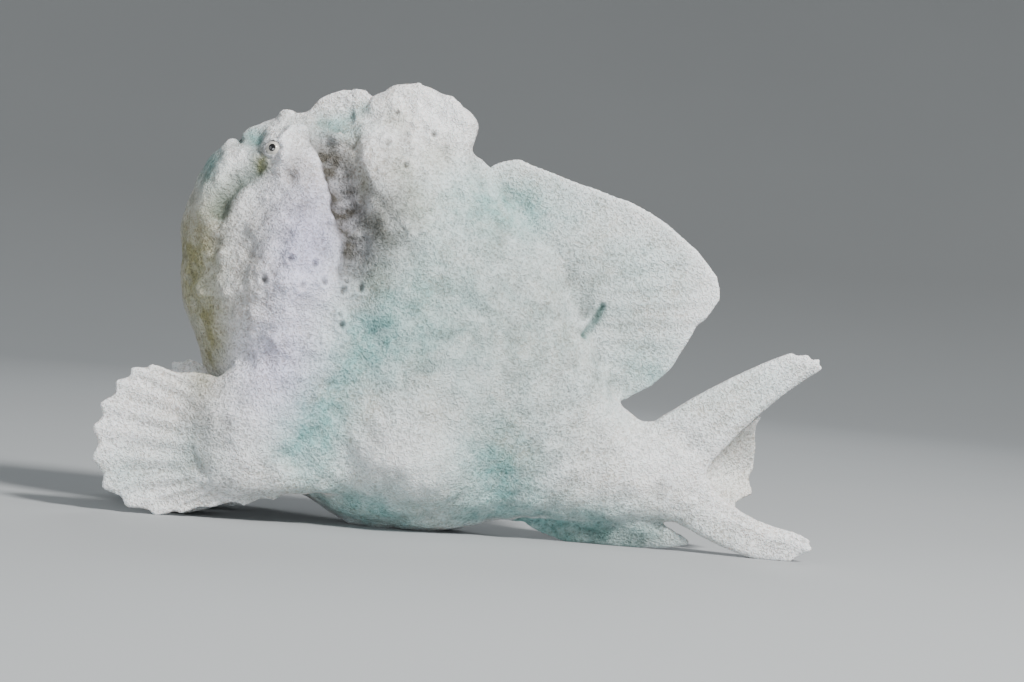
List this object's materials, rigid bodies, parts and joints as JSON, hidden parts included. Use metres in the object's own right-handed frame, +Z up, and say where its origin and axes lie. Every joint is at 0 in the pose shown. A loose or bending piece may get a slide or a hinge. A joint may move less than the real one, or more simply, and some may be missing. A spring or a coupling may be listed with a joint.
{
  "type": "frogfish model",
  "caption": "Life-size still model of a large white frogfish resting on its belly, with hand-like fins, a lure, warty skin and a folded tail fin.",
  "frame": {"origin": "middle of the bounding box's base, on the floor", "axes": "-X towards the snout, +X towards the tail, -Y the fish's left side, +Z up"},
  "size_m": [0.3572, 0.1336, 0.2211],
  "materials": {
    "skin": "soft satin, finely wrinkled skin",
    "eye": "glossy clear eye over a pale gold iris"
  },
  "bodies": {
    "root": {"head": "skin", "lower_jaw": "skin", "trunk": "skin", "belly": "skin", "tail_stalk": "skin", "dorsal_spine_3": "skin", "dorsal_spine_2": "skin", "illicium": "skin", "esca": "skin", "dorsal_fin": "skin", "anal_fin": "skin", "tail_fin_upper": "skin", "tail_fin_middle": "skin", "tail_fin_lower": "skin", "pectoral_arm_left": "skin", "pectoral_arm_right": "skin", "pectoral_fin_left": "skin", "pectoral_fin_right": "skin", "pelvic_stalk_left": "skin", "pelvic_stalk_right": "skin", "pelvic_fin_left": "skin", "pelvic_fin_right": "skin", "eye_left": "eye", "eye_right": "eye"}
  },
  "joints": []
}
